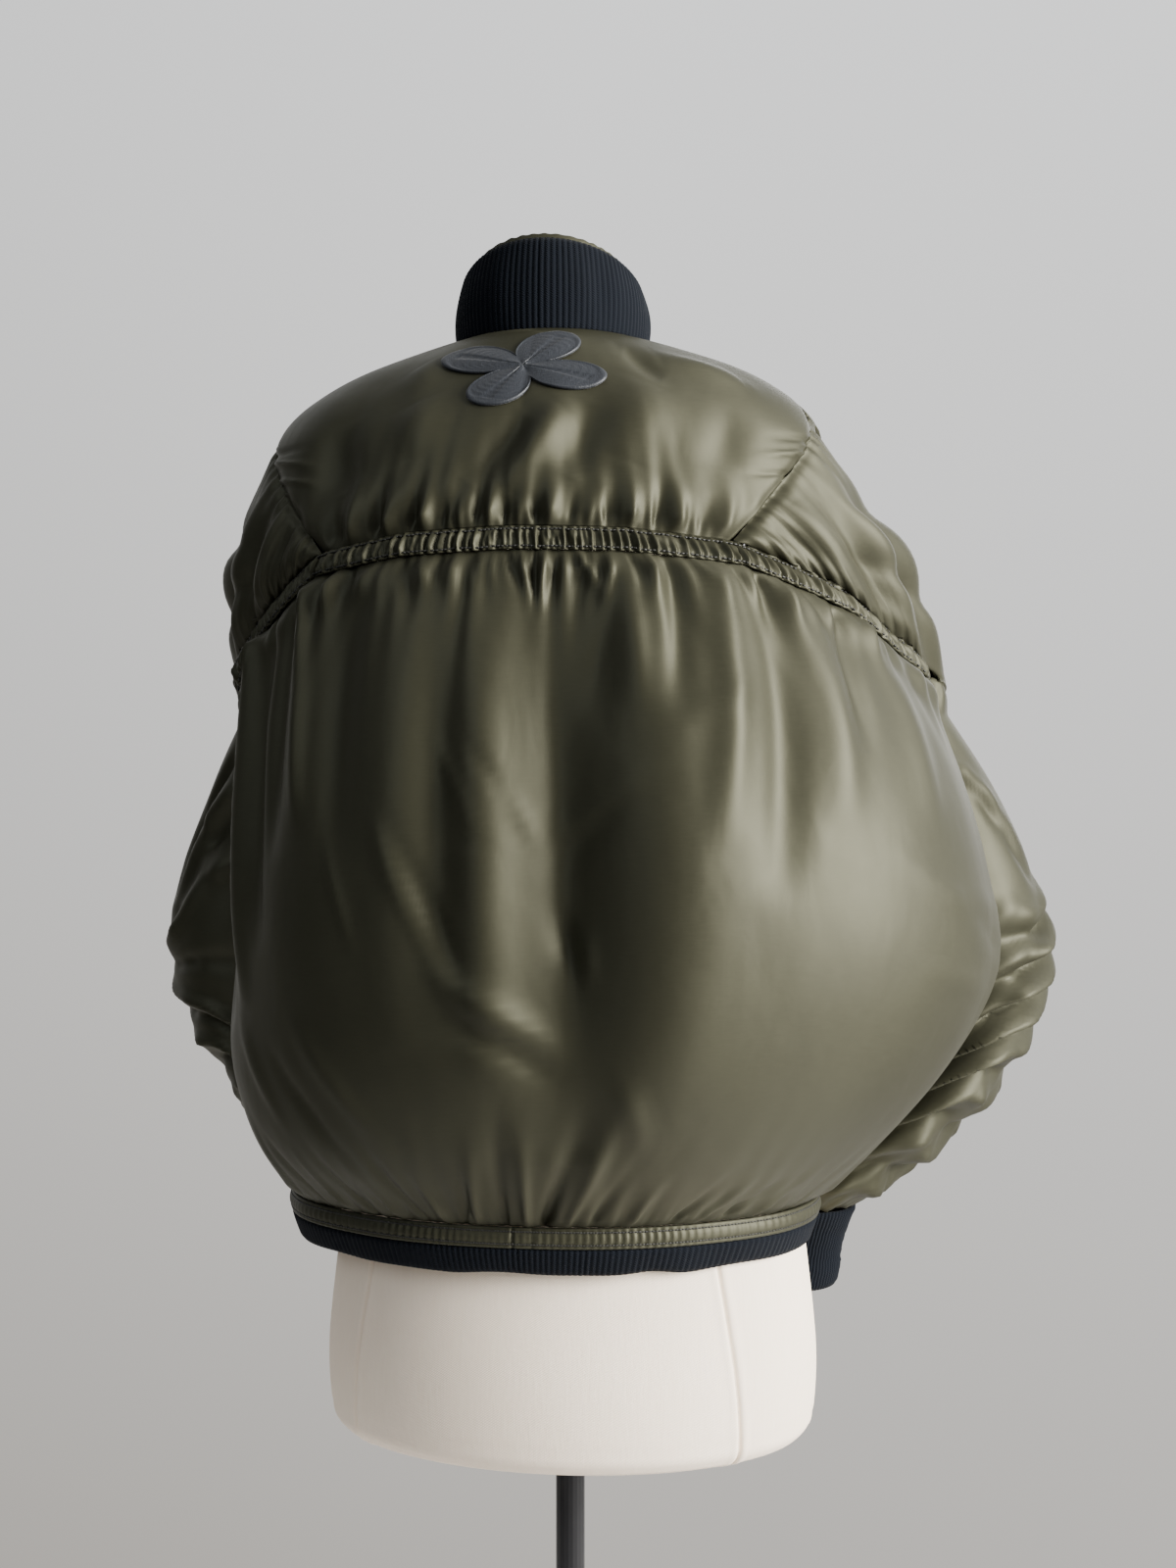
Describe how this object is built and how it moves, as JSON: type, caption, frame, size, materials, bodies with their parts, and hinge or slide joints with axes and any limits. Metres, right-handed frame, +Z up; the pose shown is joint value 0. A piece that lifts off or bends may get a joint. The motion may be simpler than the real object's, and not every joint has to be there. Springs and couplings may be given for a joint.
{
  "type": "bomber jacket on a dress form",
  "caption": "Satin bomber jacket with ribbed collar, cuffs and hem and a gathered, ballooning back, worn by a limbless dress form on a pole and a round base.",
  "frame": {"origin": "centre of the base's underside, on the floor under the pole", "axes": "+Z up along the pole; the jacket's front and zip face -Y and its back +Y, so the wearer's left is +X"},
  "size_m": [0.6757, 0.419, 1.2984],
  "materials": {
    "satin": "olive satin, softly shiny",
    "rib": "near-black wool rib, matt",
    "zip_tape": "near-black woven tape, matt",
    "zip_metal": "worn satin metal",
    "stitch_patch": "charcoal stitched cloth",
    "form_cover": "cream linen, matt",
    "form_steel": "black semi-gloss paint"
  },
  "bodies": {
    "jacket_and_form": {"back_panel": "satin", "back_yoke": "satin", "back_casing": "satin", "casing_left": "satin", "casing_right": "satin", "front_left": "satin", "front_right": "satin", "sleeve_head_left": "satin", "sleeve_head_right": "satin", "sleeve_left": "satin", "sleeve_right": "satin", "collar_facing": "satin", "hem_band": "satin", "collar_rib": "rib", "cuff_left": "rib", "cuff_right": "rib", "hem_rib": "rib", "zip_tape_left": "zip_tape", "zip_tape_right": "zip_tape", "zip_slider": "zip_metal", "applique": "stitch_patch", "form_torso": "form_cover", "form_pole": "form_steel", "form_base": "form_steel"},
    "zip_pull": {"zip_pull": "zip_metal"}
  },
  "joints": [
    {"name": "zip_pull_swing", "type": "hinge", "parent": "jacket_and_form", "child": "zip_pull", "pos_m": [0.01, -0.05181, 1.2274], "axis": [-1, 0, 0], "range_deg": [0, 150]}
  ]
}
